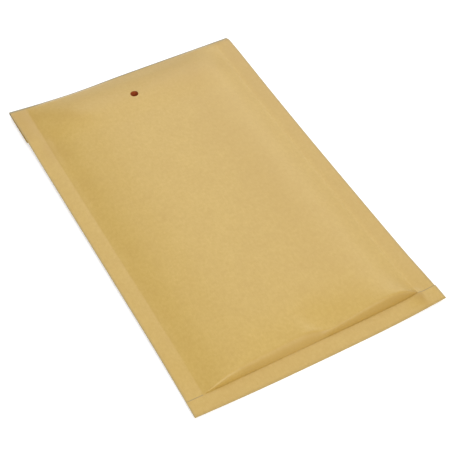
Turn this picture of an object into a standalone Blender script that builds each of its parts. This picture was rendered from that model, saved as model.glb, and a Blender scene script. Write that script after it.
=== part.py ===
"""A kraft padded envelope that lies on its back, with its flap folded under it.

X runs across the envelope, +Y towards the folded flap and +Z up from the surface it lies on. The paper
cover is one folded and glued sheet. Its front ply turns over the top fold into the flap, and its back
ply turns up at the bottom into a narrow lip that is glued over the front. A pouch of bubble film
lies inside, and an adhesive strip with its release liner runs across the flap's inner face.
"""

import math

import bmesh
import bpy

# Cut and folded sizes of the paper cover
WIDTH = 0.140
LENGTH = 0.225
PAPER = 0.0002
LEFT_SEAM = 0.0088
RIGHT_SEAM = 0.0100
LIP = 0.0089
FLAP = 0.026
MOUTH_DROP = 0.002
BOTTOM_BOW = 0.0008

# Punched hole for a closing clip
PUNCH_DIAMETER = 0.0046
PUNCH_FROM_FOLD = 0.0242
PUNCH_SHIFT = -0.0029
PUNCH_SIDES = 24
PUNCH_LENGTH = 0.030

# Adhesive strip and release liner, measured from the top fold
STRIP_START = 0.0045
STRIP_WIDTH = 0.011
STRIP_THICKNESS = 0.00012
STRIP_END_GAP = 0.004
LINER_THICKNESS = 0.00008
LINER_OVERHANG = 0.0005
CLEARANCE = 0.00025

# Padding: the free height between the two plies, and how it rises from each edge
PADDING = 0.0064
LEFT_REACH = 0.0148
LEFT_POWER = 1.35
RIGHT_REACH = 0.0118
RIGHT_POWER = 1.25
HEAD_REACH = 0.0125
HEAD_POWER = 1.6
FOOT_SETBACK = 0.0004
FOOT_REACH = 0.015
FOOT_POWER = 1.5
FOOT_ROUND_SHARE = 0.62
CORNER_FILL = 6
DIMPLE_SHARE = 0.18
DIMPLE_X = 0.007
DIMPLE_WIDTH = 0.005
DIMPLE_REACH = 0.009

# Length of the rounded foot across the width, as (share of the width, length)
FOOT_ROUND = ((0.07, 0.0014), (0.15, 0.0020), (0.27, 0.0034), (0.42, 0.0044), (0.50, 0.0044),
              (0.565, 0.0024), (0.64, 0.0024), (0.80, 0.0036), (0.88, 0.0036), (0.93, 0.0026))

# Soft crest beside the right slope, as (share of the length from the bottom, x), steeper on its right
CREST_X = ((0.0, 0.0440), (0.25, 0.0435), (0.5, 0.0425), (0.745, 0.0445), (0.884, 0.0475), (1.0, 0.058))
CREST_HEIGHT = 0.0009
CREST_GENTLE_WIDTH = 0.013
CREST_STEEP_WIDTH = 0.009
CREST_START = 0.004

# Bubble film pouch
FILM_SIDE_GAP = 0.0035
FILM_FOOT_GAP = 0.0012
FILM_HEAD_GAP = 0.009
FILM_SEAL = 0.004
FILM_TIGHT_SHARE = 0.3
POCKET = 0.0005
POCKET_SHARE = 0.4

# Heights of the back ply's underside along its edges, as (share of the edge, height) from the left
# or from the bottom. The middle of the envelope lies flat on the surface.
LEFT_LIFT = ((0.0, 0.0009), (0.15, 0.0016), (0.5, 0.0018), (0.75, 0.0021), (1.0, 0.0023))
RIGHT_LIFT = ((0.0, 0.0019), (0.13, 0.0014), (0.5, 0.0013), (0.72, 0.0015), (1.0, 0.0016))
BOTTOM_LIFT = ((0.0, 0.0009), (0.12, 0.0004), (0.3, 0.0), (0.7, 0.0), (0.86, 0.0006), (1.0, 0.0019))
FLAP_LIFT = ((0.0, 0.0021), (0.14, 0.0009), (0.3, 0.0), (1.0, 0.0))
HEAD_LIFT = ((0.0, 0.0), (0.7, 0.0), (1.0, 0.0008))
FOLD_TOP = ((0.0, 0.0037), (0.14, 0.0020), (0.3, 0.0009), (0.5, 0.0012), (1.0, 0.0007))
EDGE_FLAT = 0.005
EDGE_REACH = 0.027
BOTTOM_REACH = 0.028
HEAD_START = 0.043
HEAD_FULL = 0.021

# How far the padding draws the side edges in, as (share of the length from the bottom, distance)
LEFT_DRAW = ((0.0, 0.0), (0.06, 0.0003), (0.25, 0.00058), (0.75, 0.0005), (0.88, 0.00045), (1.0, 0.0))
RIGHT_DRAW = ((0.0, 0.0), (0.06, 0.0004), (0.15, 0.00075), (0.5, 0.00093), (0.72, 0.0007), (0.93, 0.0))

# Places that follow from the sizes
HALF = WIDTH / 2
HEEL_Y = (BOTTOM_BOW - LENGTH) / 2
FOLD_Y = HEEL_Y + LENGTH
LIP_Y = HEEL_Y + LIP
POCKET_Y = LIP_Y + FOOT_SETBACK
MOUTH_Y = FOLD_Y - MOUTH_DROP
NOSE = 2 * PAPER
STRIP_STACK = PAPER + STRIP_THICKNESS + LINER_THICKNESS + 3 * CLEARANCE
FOLD_LINE = FOLD_Y - STRIP_START + LINER_OVERHANG
HEEL_EASE = 0.8 * PAPER
STEEPEST = 3.0
PROBE = 0.0001

# Spacing of the points, as distances from the edge that each list starts at
SIDE_STEPS = (0.0015, 0.0035, 0.0065, 0.0105, 0.016, 0.024, 0.034, 0.046)
FOOT_STEPS = (0.0, 0.0004, 0.0010, 0.0018, 0.0028, 0.0044, 0.008, 0.012, 0.019, 0.029)
HEAD_STEPS = (0.0065, 0.0095, 0.0135, 0.018, 0.024, 0.033, 0.047)
BODY_ROWS = 7
FLAP_ROWS = 7
LIP_ROWS = 3
THROAT_ROWS = 3
STRIP_ROWS = 3
FOLD_ANGLES = (-90, -60, -30, 0, 30, 60, 90)
SHARP_ANGLE = 40

# Finishes, as (name, colour, roughness)
KRAFT = ("kraft_paper", (0.56, 0.37, 0.10, 1.0), 0.5)
FILM = ("bubble_film", (0.82, 0.84, 0.85, 1.0), 0.3)
ADHESIVE = ("adhesive", (0.86, 0.80, 0.60, 1.0), 0.35)
LINER = ("liner_paper", (0.88, 0.88, 0.86, 1.0), 0.45)


def clamp(value):
    """The value, kept between 0 and 1."""
    return min(max(value, 0.0), 1.0)


def ease(start, end, value):
    """A smooth step from 0 at start to 1 at end."""
    share = clamp((value - start) / (end - start))
    return share * share * (3 - 2 * share)


def mix(first, second, share):
    """A value part of the way from first to second."""
    return first + (second - first) * share


def slope(points, index):
    """Slope of a curve through points at one of them."""
    before = points[max(index - 1, 0)]
    after = points[min(index + 1, len(points) - 1)]
    return (after[1] - before[1]) / (after[0] - before[0])


def curve(points, place):
    """Value at a place on a smooth curve through (place, value) points, kept between its neighbours."""
    if place <= points[0][0]:
        return points[0][1]
    for index in range(len(points) - 1):
        (start, low), (end, high) = points[index], points[index + 1]
        if place <= end:
            span = end - start
            share = (place - start) / span
            leave = slope(points, index) * span
            arrive = slope(points, index + 1) * span
            value = (low * (1 + 2 * share) * (1 - share) ** 2
                     + leave * share * (1 - share) ** 2
                     + high * share ** 2 * (3 - 2 * share)
                     + arrive * share ** 2 * (share - 1))
            return min(max(value, min(low, high)), max(low, high))
    return points[-1][1]


def across(x):
    """Share of the width at x, from 0 at the left edge to 1 at the right."""
    return x / WIDTH + 0.5


def along(y):
    """Share of the length at y, from 0 at the bottom edge to 1 at the top fold."""
    return (y - HEEL_Y) / LENGTH


def rounded(distance, reach, power):
    """A rise from 0 at an edge towards 1 well inside it."""
    return 1 - math.exp(-(max(distance, 0.0) / reach) ** power)


def meet(first, second):
    """Two rises as one that stays near the lower of them, as where two slopes meet in a corner."""
    with_both = max(first, PROBE) ** -CORNER_FILL + max(second, PROBE) ** -CORNER_FILL - 1
    return min(with_both ** (-1 / CORNER_FILL), first, second)


def foot_rise(x, distance):
    """How full the padding is at a distance from the bottom of the pocket."""
    steep = math.sin(math.pi / 2 * clamp(distance / curve(FOOT_ROUND, across(x))))
    return mix(rounded(distance, FOOT_REACH, FOOT_POWER), steep, FOOT_ROUND_SHARE)


def dimple(x, foot):
    """Dent between the two bulges at the foot of the padding."""
    beside = math.exp(-((x - DIMPLE_X) / DIMPLE_WIDTH) ** 2)
    above = math.exp(-(foot / DIMPLE_REACH) ** 2)
    return 1 - DIMPLE_SHARE * beside * above


def crest(x, y):
    """Height of the soft crest beside the right slope."""
    off = x - curve(CREST_X, along(y))
    width = CREST_STEEP_WIDTH if off > 0 else CREST_GENTLE_WIDTH
    return CREST_HEIGHT * math.exp(-(off / width) ** 2)


def padding(x, y):
    """Free height between the two plies, which is 0 on the glued seams."""
    left = x + HALF - LEFT_SEAM
    right = HALF - RIGHT_SEAM - x
    foot = y - POCKET_Y
    if min(left, right, foot) <= PROBE / 2:
        return 0.0
    sides = rounded(left, LEFT_REACH, LEFT_POWER) * rounded(right, RIGHT_REACH, RIGHT_POWER)
    head = rounded(FOLD_Y - y, HEAD_REACH, HEAD_POWER)
    plain = PADDING * head * meet(sides, foot_rise(x, foot)) * dimple(x, foot)
    return plain + crest(x, y) * sides * ease(0.0, CREST_START, min(left, right, foot))


def steepness(x, y):
    """Length of a thickness measured straight up through the sloping front ply."""
    if padding(x, y) == 0.0:
        return 1.0
    rise_x = (padding(x + PROBE, y) - padding(x - PROBE, y)) / (2 * PROBE)
    rise_y = (padding(x, y + PROBE) - padding(x, y - PROBE)) / (2 * PROBE)
    return min(math.sqrt(1 + rise_x ** 2 + rise_y ** 2), STEEPEST)


def flap_under(x):
    """Height of the flap's underside."""
    return curve(FLAP_LIFT, across(x))


def lying_back(x, y):
    """Height of the back ply's underside, below the line where the front turns down to the fold."""
    left = curve(LEFT_LIFT, along(y)) * (1 - ease(EDGE_FLAT, EDGE_REACH, x + HALF))
    right = curve(RIGHT_LIFT, along(y)) * (1 - ease(EDGE_FLAT, EDGE_REACH, HALF - x))
    bottom = curve(BOTTOM_LIFT, across(x))
    head = flap_under(x) + STRIP_STACK + curve(HEAD_LIFT, across(x))
    body = mix(bottom, left + right, ease(LIP_Y, LIP_Y + BOTTOM_REACH, y))
    return mix(body, head, ease(FOLD_Y - HEAD_START, FOLD_Y - HEAD_FULL, y))


def back_under(x, y):
    """Height of the back ply's underside."""
    if y <= FOLD_LINE:
        return lying_back(x, y)
    start = lying_back(x, FOLD_LINE) + padding(x, FOLD_LINE)
    end = curve(FOLD_TOP, across(x)) - 2 * PAPER
    share = (y - FOLD_LINE) / (FOLD_Y - NOSE - FOLD_LINE)
    return mix(start, end, share) - padding(x, y)


def back_inside(x, y):
    """Height of the back ply's inner face."""
    return back_under(x, y) + PAPER


def front_inside(x, y):
    """Height of the front ply's inner face."""
    return back_inside(x, y) + padding(x, y)


def front_top(x, y):
    """Height of the front ply's outer face."""
    return front_inside(x, y) + PAPER * steepness(x, y)


def lip_top(x, y):
    """Height of the lip's outer face, one ply above the front."""
    return back_under(x, y) + 3 * PAPER


def drawn(x, y, z):
    """Place of a point of the pouch, whose side edges are drawn in by the padding."""
    draw = curve(LEFT_DRAW if x < 0 else RIGHT_DRAW, along(y))
    return x * (1 - draw / HALF), bowed(x, y), z


def bowed(x, y):
    """Y of a point, with the bottom edge bowed out between its corners."""
    return y - BOTTOM_BOW * (1 - (x / HALF) ** 2) * clamp((LIP_Y - y) / LIP)


def column_places():
    """X of each column of points, closest where the padding rises from the seams."""
    left = LEFT_SEAM - HALF
    right = HALF - RIGHT_SEAM
    middle = ((left + right) / 2, DIMPLE_X)
    margins = (-HALF, -HALF + LEFT_SEAM / 2, left, right, HALF - RIGHT_SEAM / 2, HALF)
    inner = [left + step for step in SIDE_STEPS] + [right - step for step in SIDE_STEPS]
    return sorted([*margins, *middle, *inner])


def row_places():
    """Y of each row of points from the bottom of the pocket to the mouth."""
    foot = [POCKET_Y + step for step in FOOT_STEPS]
    head = [FOLD_Y - step for step in HEAD_STEPS]
    body = spread(foot[-1], head[-1], BODY_ROWS + 2)[1:-1]
    return sorted([*foot, *body, *head, FOLD_LINE, MOUTH_Y])


def spread(start, end, count):
    """Evenly spaced places from start to end."""
    return [mix(start, end, index / (count - 1)) for index in range(count)]


def points_on(mesh, columns, rows, height, put):
    """Rows of new points for each column, at the height that a rule gives."""
    return [[mesh.verts.new(put(x, y, height(x, y))) for y in rows] for x in columns]


def skin(mesh, columns):
    """Faces between neighbouring columns of points."""
    for first, second in zip(columns, columns[1:]):
        for lower, upper in zip(zip(first, second), zip(first[1:], second[1:])):
            mesh.faces.new((lower[0], lower[1], upper[1], upper[0]))


def joined(*parts):
    """Columns of points laid end to end."""
    return [sum(pieces, []) for pieces in zip(*parts)]


def finished(mesh, name, material, cutters=()):
    """A new object from a closed mesh, with its faces turned outwards and its holes cut."""
    bmesh.ops.recalc_face_normals(mesh, faces=mesh.faces[:])
    data = bpy.data.meshes.new(name)
    mesh.to_mesh(data)
    mesh.free()
    data.shade_smooth()
    data.set_sharp_from_angle(angle=math.radians(SHARP_ANGLE))
    data.materials.append(material)
    part = bpy.data.objects.new(name, data)
    bpy.context.collection.objects.link(part)
    for cutter in cutters:
        cut = part.modifiers.new("punch", "BOOLEAN")
        cut.operation = "DIFFERENCE"
        cut.object = cutter
    return part


def paint(name, colour, roughness):
    """A plain material of one colour."""
    material = bpy.data.materials.new(name)
    material.use_nodes = True
    shader = material.node_tree.nodes["Principled BSDF"]
    shader.inputs["Base Color"].default_value = colour
    shader.inputs["Roughness"].default_value = roughness
    return material


def nose_point(x, angle, inset):
    """Point on the round of the top fold, which turns from the front ply into the flap."""
    top = curve(FOLD_TOP, across(x))
    low = flap_under(x)
    depth = (NOSE - inset) * math.cos(angle)
    rise = ((top - low) / 2 - inset) * math.sin(angle)
    return x, FOLD_Y - NOSE + depth, (top + low) / 2 + rise


def fold_round(mesh, columns, inset):
    """Points round the top fold for each column, from the flap up to the front ply."""
    angles = [math.radians(degrees) for degrees in FOLD_ANGLES]
    return [[mesh.verts.new(nose_point(x, angle, inset)) for angle in angles] for x in columns]


def heel_round(mesh, columns):
    """Points round the bottom fold for each column, from the lip down to the back ply."""
    turned = []
    for x in columns:
        low = back_under(x, HEEL_Y)
        y = bowed(x, HEEL_Y)
        upper = mesh.verts.new((x, y, low + 3 * PAPER - HEEL_EASE))
        lower = mesh.verts.new((x, y, low + HEEL_EASE))
        turned.append([upper, lower])
    return turned


def plain(x, y, z):
    """Place of a point of the flap, whose side edges stay straight."""
    return x, y, z


def kraft_cover(material, punch):
    """The folded and glued paper cover as one closed solid, open at its mouth."""
    mesh = bmesh.new()
    columns = column_places()
    rows = row_places()
    seams = (columns.index(LEFT_SEAM - HALF), columns.index(HALF - RIGHT_SEAM))
    throat_rows = spread(MOUTH_Y, FOLD_Y - NOSE, THROAT_ROWS)
    flap_rows = spread(FOLD_Y - FLAP, FOLD_Y - NOSE, FLAP_ROWS)
    lip_rows = spread(HEEL_Y + PAPER, LIP_Y, LIP_ROWS)

    def flap_inside(x, y):
        return flap_under(x) + PAPER

    def throat_inside(x, y):
        return front_top(x, y) - PAPER

    flap_out = points_on(mesh, columns, flap_rows[:-1], lambda x, y: flap_under(x), plain)
    flap_in = points_on(mesh, columns, flap_rows[:-1], flap_inside, plain)
    fold_out = fold_round(mesh, columns, 0.0)
    fold_in = fold_round(mesh, columns, PAPER)
    throat_out = points_on(mesh, columns, throat_rows[1:-1], front_top, drawn)
    throat_in = points_on(mesh, columns, [MOUTH_Y] + throat_rows[1:-1], throat_inside, drawn)
    front = points_on(mesh, columns, [LIP_Y] + rows, front_top, drawn)
    lip = points_on(mesh, columns, lip_rows, lip_top, drawn)
    heel = heel_round(mesh, columns)
    back = points_on(mesh, columns, lip_rows + rows, back_under, drawn)

    down = [points[::-1] for points in front]
    lip_down = [points[::-1] for points in lip]
    throat_down = [points[::-1] for points in throat_out]
    skin(mesh, joined(flap_out, fold_out, throat_down, down, lip_down, heel, back))
    throat_back = [points[::-1] for points in throat_in]
    skin(mesh, joined(flap_in, fold_in, throat_back))
    skin(mesh, [[out[0], inside[0]] for out, inside in zip(flap_out, flap_in)])
    pocket(mesh, columns, rows, seams, back, throat_in)
    for side in (0, -1):
        cap(mesh, flap_out[side] + fold_out[side] + throat_down[side],
            flap_in[side] + fold_in[side] + throat_back[side][:-1])
        body_cap(mesh, front[side], back[side], lip[side], heel[side], throat_out[side], throat_in[side])
    return finished(mesh, "kraft_cover", material, [punch])


def pocket(mesh, columns, rows, seams, back, throat_in):
    """Inner faces of both plies, which meet along the seams, and the back ply's edge at the mouth."""
    first, last = seams
    width = last - first + 1
    floor = []
    roof = []
    for index in range(first, last + 1):
        x = columns[index]
        low = [mesh.verts.new(drawn(x, y, back_inside(x, y))) for y in rows[:-1]]
        on_seam = index in seams
        high = [low[0]] + [
            low[row] if on_seam else mesh.verts.new(drawn(x, rows[row], front_inside(x, rows[row])))
            for row in range(1, len(low))
        ]
        mouth = throat_in[index][0]
        edge = mouth if on_seam else mesh.verts.new(drawn(x, MOUTH_Y, back_inside(x, MOUTH_Y)))
        floor.append(low + [edge])
        roof.append(high + [mouth])
    skin(mesh, floor)
    skin(mesh, roof)
    edges = [points[0] for points in throat_in]
    edges[first:first + width] = [points[-1] for points in floor]
    skin(mesh, [[under[-1], edge] for under, edge in zip(back, edges)])


def cap(mesh, outside, inside):
    """Cut edge of a single ply, between its two faces."""
    skin(mesh, [outside, inside])


def body_cap(mesh, front, back, lip, heel, throat_out, throat_in):
    """Cut edge of the glued plies down one side of the envelope."""
    strip = len(lip) - 1
    body = back[strip:]
    top_rows = [front[-1], throat_out[0]]
    mesh.faces.new((top_rows[0], top_rows[1], throat_in[1], throat_in[0]))
    for row in range(len(front) - 2):
        mesh.faces.new((front[row], front[row + 1], body[row + 1], body[row]))
    mesh.faces.new((front[-2], front[-1], throat_in[0], body[-1], body[-2]))
    for row in range(strip - 1):
        mesh.faces.new((lip[row], lip[row + 1], back[row + 1], back[row]))
    mesh.faces.new((lip[strip - 1], lip[strip], front[0], back[strip], back[strip - 1]))
    mesh.faces.new((heel[0], lip[0], back[0], heel[1]))


def bubble_lining(material, punch):
    """The bubble film pouch as one closed solid, open at its mouth."""
    mesh = bmesh.new()
    left = LEFT_SEAM - HALF + FILM_SIDE_GAP
    right = HALF - RIGHT_SEAM - FILM_SIDE_GAP
    low = POCKET_Y + FILM_FOOT_GAP
    high = MOUTH_Y - FILM_HEAD_GAP
    columns = [x for x in column_places() if left - PROBE < x < right + PROBE]
    rows = [y for y in row_places() if low - PROBE < y < high + PROBE]

    def ease_in(x, y):
        return min(CLEARANCE, padding(x, y) * FILM_TIGHT_SHARE)

    def top(x, y):
        return front_inside(x, y) - ease_in(x, y) * steepness(x, y)

    def under(x, y):
        return back_inside(x, y) + ease_in(x, y)

    def gap(x, y):
        room = top(x, y) - under(x, y)
        return min(POCKET, room * POCKET_SHARE)

    def middle(x, y):
        return (top(x, y) + under(x, y)) / 2

    sealed = [x for x in columns if columns[0] + FILM_SEAL < x < columns[-1] - FILM_SEAL]
    first = columns.index(sealed[0]) - 1
    last = columns.index(sealed[-1]) + 1
    foot = next(index for index, y in enumerate(rows) if y >= rows[0] + FILM_SEAL)

    outer = points_on(mesh, columns, rows, top, drawn)
    under_side = points_on(mesh, columns, rows, under, drawn)
    skin(mesh, outer)
    skin(mesh, under_side)
    for side in (0, -1):
        cap(mesh, outer[side], under_side[side])
    skin(mesh, [[above[0], below[0]] for above, below in zip(outer, under_side)])

    roof = []
    floor = []
    for index in range(first, last + 1):
        x = columns[index]
        closed = index in (first, last)
        above = []
        below = []
        for y in rows[foot:]:
            seam = closed or y == rows[foot]
            half = 0.0 if seam else gap(x, y) / 2
            point = mesh.verts.new(drawn(x, y, middle(x, y) + half))
            above.append(point)
            below.append(point if seam else mesh.verts.new(drawn(x, y, middle(x, y) - half)))
        roof.append(above)
        floor.append(below)
    skin(mesh, roof)
    skin(mesh, floor)
    mouth_edges(mesh, outer, under_side, roof, floor, first, last)
    return finished(mesh, "bubble_lining", material, [punch])


def mouth_edges(mesh, outer, under_side, roof, floor, first, last):
    """Edges of both films at the pouch's mouth, and its sealed corners beside it."""
    tops = [points[-1] for points in outer]
    lows = [points[-1] for points in under_side]
    roof_ends = [points[-1] for points in roof]
    floor_ends = [points[-1] for points in floor]
    for index in range(len(tops) - 1):
        if first <= index < last:
            inner = index - first
            mesh.faces.new((tops[index], tops[index + 1], roof_ends[inner + 1], roof_ends[inner]))
            mesh.faces.new((lows[index], lows[index + 1], floor_ends[inner + 1], floor_ends[inner]))
            continue
        corners = [tops[index], tops[index + 1], lows[index + 1], lows[index]]
        if index + 1 == first:
            corners.insert(2, roof_ends[0])
        if index == last:
            corners.append(roof_ends[-1])
        mesh.faces.new(corners)


def flap_strip(name, material, end_gap, near, far, lift, thickness):
    """A thin strip across the flap's inner face, between two distances from the fold."""
    mesh = bmesh.new()
    inner = [x for x in column_places() if abs(x) < HALF - end_gap - PROBE]
    columns = [end_gap - HALF, *inner, HALF - end_gap]
    rows = spread(FOLD_Y - far, FOLD_Y - near, STRIP_ROWS)

    def under(x, y):
        return flap_under(x) + PAPER + lift

    def top(x, y):
        return under(x, y) + thickness

    upper = points_on(mesh, columns, rows, top, plain)
    lower = points_on(mesh, columns, rows, under, plain)
    skin(mesh, upper)
    skin(mesh, lower)
    for side in (0, -1):
        cap(mesh, upper[side], lower[side])
        skin(mesh, [[above[side], below[side]] for above, below in zip(upper, lower)])
    return finished(mesh, name, material)


def punch_tool():
    """The round cutter that makes the clip hole through every layer."""
    mesh = bmesh.new()
    bmesh.ops.create_cone(mesh, cap_ends=True, segments=PUNCH_SIDES, radius1=PUNCH_DIAMETER / 2,
                          radius2=PUNCH_DIAMETER / 2, depth=PUNCH_LENGTH)
    data = bpy.data.meshes.new("punch_tool")
    mesh.to_mesh(data)
    mesh.free()
    tool = bpy.data.objects.new("punch_tool", data)
    tool.location = (PUNCH_SHIFT, FOLD_Y - PUNCH_FROM_FOLD, 0.0)
    tool.display_type = "WIRE"
    tool.hide_render = True
    bpy.context.collection.objects.link(tool)
    return tool


def clear_scene():
    """Remove what the file holds."""
    for thing in list(bpy.data.objects):
        bpy.data.objects.remove(thing, do_unlink=True)


def build():
    """Make every piece of the envelope."""
    clear_scene()
    punch = punch_tool()
    kraft_cover(paint(*KRAFT), punch)
    bubble_lining(paint(*FILM), punch)
    flap_strip("adhesive_strip", paint(*ADHESIVE), STRIP_END_GAP, STRIP_START,
               STRIP_START + STRIP_WIDTH, CLEARANCE, STRIP_THICKNESS)
    flap_strip("release_liner", paint(*LINER), STRIP_END_GAP - LINER_OVERHANG,
               STRIP_START - LINER_OVERHANG, STRIP_START + STRIP_WIDTH + LINER_OVERHANG,
               2 * CLEARANCE + STRIP_THICKNESS, LINER_THICKNESS)


build()
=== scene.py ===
"""Looks of a kraft padded envelope that lies on its back with its flap folded under it.

X runs across the envelope, +Y towards the folded flap and +Z up. Every size is in metres.
"""

import math

import bmesh
import bpy
import numpy as np
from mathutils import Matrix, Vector


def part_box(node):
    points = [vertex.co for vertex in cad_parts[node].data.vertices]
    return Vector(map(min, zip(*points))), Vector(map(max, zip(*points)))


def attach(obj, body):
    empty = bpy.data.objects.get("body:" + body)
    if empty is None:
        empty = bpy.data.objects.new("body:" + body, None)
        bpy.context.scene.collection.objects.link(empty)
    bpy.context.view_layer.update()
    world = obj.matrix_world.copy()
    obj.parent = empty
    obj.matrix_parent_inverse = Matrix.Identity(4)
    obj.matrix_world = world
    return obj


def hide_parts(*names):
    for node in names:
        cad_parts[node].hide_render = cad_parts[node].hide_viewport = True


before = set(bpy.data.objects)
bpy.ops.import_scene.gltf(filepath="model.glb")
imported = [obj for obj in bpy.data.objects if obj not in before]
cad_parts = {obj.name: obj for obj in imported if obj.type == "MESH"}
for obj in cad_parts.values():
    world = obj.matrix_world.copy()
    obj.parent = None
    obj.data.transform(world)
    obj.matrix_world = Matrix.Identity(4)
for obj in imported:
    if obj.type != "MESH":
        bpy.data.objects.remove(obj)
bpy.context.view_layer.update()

bl_info = {
    "name": "Padded Envelope",
    "version": (1, 0, 0),
    "blender": (4, 5, 0),
    "location": "3D View > Sidebar > Envelope",
    "description": "Makes a kraft padded envelope with its bubble film lining",
    "category": "Object",
}

COVER_LOW, COVER_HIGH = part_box("kraft_cover")

# Heights of the back ply's underside, as (share of the edge, height) from the left or the bottom
LEFT_LIFT = ((0.0, 0.0009), (0.15, 0.0016), (0.5, 0.0018), (0.75, 0.0021), (1.0, 0.0023))
RIGHT_LIFT = ((0.0, 0.0019), (0.13, 0.0014), (0.5, 0.0013), (0.72, 0.0015), (1.0, 0.0016))
BOTTOM_LIFT = ((0.0, 0.0009), (0.12, 0.0004), (0.3, 0.0), (0.7, 0.0), (0.86, 0.0006), (1.0, 0.0019))
FLAP_LIFT = ((0.0, 0.0021), (0.14, 0.0009), (0.3, 0.0), (1.0, 0.0))
HEAD_LIFT = ((0.0, 0.0), (0.7, 0.0), (1.0, 0.0008))
FOLD_TOP = ((0.0, 0.0037), (0.14, 0.0020), (0.3, 0.0009), (0.5, 0.0012), (1.0, 0.0007))
EDGE_FLAT = 0.005
EDGE_REACH = 0.033
BOTTOM_REACH = 0.028
HEAD_START = 0.043
HEAD_FULL = 0.021

# How far the padding draws the side edges in, as (share of the length from the bottom, distance)
LEFT_DRAW = ((0.0, 0.0), (0.06, 0.0003), (0.25, 0.00058), (0.75, 0.0005), (0.88, 0.00045), (1.0, 0.0))
RIGHT_DRAW = ((0.0, 0.0), (0.06, 0.0004), (0.15, 0.00075), (0.5, 0.00093), (0.72, 0.0007), (0.93, 0.0))
BOTTOM_BOW = 0.0008

# Stack of flap, adhesive and liner under the back ply
STRIP_START = 0.004
STRIP_STACK = 0.00115
STACK_END_SHARE = 0.75
STACK_END = 0.006
MOUTH_DROP = 0.002

# How the padding rises from each edge
LEFT_REACH = 0.0148
LEFT_POWER = 1.35
RIGHT_REACH = 0.0118
RIGHT_POWER = 1.25
FOOT_SETBACK = 0.0004
FOOT_REACH = 0.015
FOOT_POWER = 1.5
FOOT_ROUND_SHARE = 0.62
CORNER_FILL = 4.5
CORNER_TIGHT = 0.7
CORNER_REACH = 0.007
HEAD_REACH = 0.0125
HEAD_POWER = 1.6

# Radius of the rounded foot, as (share of the width, radius)
FOOT_ROUND = ((0.07, 0.0018), (0.15, 0.0025), (0.27, 0.0039), (0.42, 0.0050), (0.50, 0.0050),
              (0.535, 0.0037), (0.565, 0.0022), (0.63, 0.0026), (0.72, 0.0033), (0.80, 0.0036),
              (0.88, 0.0032), (0.93, 0.0018))

# Soft crest beside the right slope, as (share of the length from the bottom, x)
CREST_X = ((0.0, 0.0440), (0.25, 0.0435), (0.5, 0.0425), (0.745, 0.0445), (0.884, 0.0475), (1.0, 0.058))
CREST_HEIGHT = 0.0009
CREST_GENTLE_WIDTH = 0.013
CREST_STEEP_WIDTH = 0.009

# Valley between the two bulges, from the lip up the front: steep on its left
VALLEY_START = (0.0085, -0.1040)
VALLEY_END = (-0.0010, -0.0860)
VALLEY_SHARE = 0.30
VALLEY_FADE = 1.2
VALLEY_STEEP_WIDTH = 0.0038
VALLEY_GENTLE_WIDTH = 0.014

# Step across the far left corner, up from the corner to the middle
STEP_START = (-0.0570, 0.1075)
STEP_END = (-0.0335, 0.0905)
STEP_HEIGHT = 0.0011
STEP_STEEP_WIDTH = 0.0075
STEP_GENTLE_WIDTH = 0.038
STEP_FADE = 0.010

# Where the corner of the pouch lifts the lip near its right end
LIP_RISE_X = 0.0602
LIP_RISE = 0.0009
LIP_RISE_STEEP_WIDTH = 0.0016
LIP_RISE_GENTLE_WIDTH = 0.0060
LIP_RISE_REACH = 0.005

# Puckers along the left seam, as (y, strength)
PUCKERS = ((0.0900, -0.6), (0.0795, 1.0), (0.0658, 0.7), (0.0450, 0.5), (0.0300, 0.6),
           (-0.0120, 0.3), (-0.0600, 0.4))
PUCKER_LENGTH = 0.006
PUCKER_REACH = 0.010
PUCKER_DEPTH = 0.0008

# How much painted shade darkens the paper's colour: on the seams and the lip, in a shadow line by the left
# seam, at the foot, towards the top fold, along the outline and near the lip's right end
RIGHT_SEAM_SHADE = 0.30
LEFT_SEAM_SHADE = 0.09
LIP_PAINTED_SHADE = 0.20
SEAM_SHADOW_LINE = 0.16
SEAM_SHADOW_WIDTH = 0.0009
FOOT_SHADE = ((0.07, 0.05), (0.17, 0.12), (0.25, 0.40), (0.50, 0.52), (0.62, 0.42), (0.78, 0.52),
             (0.86, 0.70), (0.93, 0.78))
HEAD_SHADE = 0.16
HEAD_SHADE_LEFT = 0.36
HEAD_SHADE_RIGHT = 0.15
LIP_SHADOW_LINE = 1.0
LIP_RIM_SHADE = 0.5
RIM_SHADE_WIDTH = 0.0012
RIM_SHADE_FOLD = 0.0018
RIM_SHADE_SIDE = 0.4
RIM_SHADE_FOOT = 0.25
LIP_SHADE = 0.75
LIP_SHADE_WIDTH = 0.0034
LIP_SHADE_LOW = 0.35

# Where the colours and the unevenness set in, as the two distances that each eases between
RELIEF_IN = (0.001, 0.008)
RELIEF_AT_HEAD = (0.002, 0.010)
RIGHT_SEAM_SHADE_IN = (-0.002, 0.004)
SEAM_IN = (0.0, 0.0006)
HEAD_SEAM_IN = (-0.0018, -0.0008)
HEAD_SIDES = (0.020, 0.032)
HEAD_BAND = (0.022, 0.038)
HEAD_BAND_LEFT = (0.004, 0.022)

# Where the painted shade on the foot fades, as shares of its rounded length
FOOT_SHADE_OUT = (0.45, 1.25)

# Soft patches of painted shade on the paper, as (x, y, width, length, strength)
SHADE_PATCHES = ((-0.0600, 0.1080, 0.0110, 0.0130, 0.24), (-0.0625, 0.0760, 0.0040, 0.0110, 0.30),
           (-0.0585, 0.0790, 0.0040, 0.0070, 0.22), (-0.0550, 0.0675, 0.0040, 0.0055, 0.20),
           (-0.0560, 0.0440, 0.0050, 0.0060, 0.12), (-0.0570, 0.0300, 0.0045, 0.0060, 0.10),
           (0.0315, 0.0100, 0.0175, 0.1000, 0.25), (0.0360, 0.0900, 0.0210, 0.0140, 0.10),
           (-0.0040, -0.0500, 0.0200, 0.0180, 0.06), (0.0660, 0.0720, 0.0060, 0.0300, 0.14))

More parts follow.
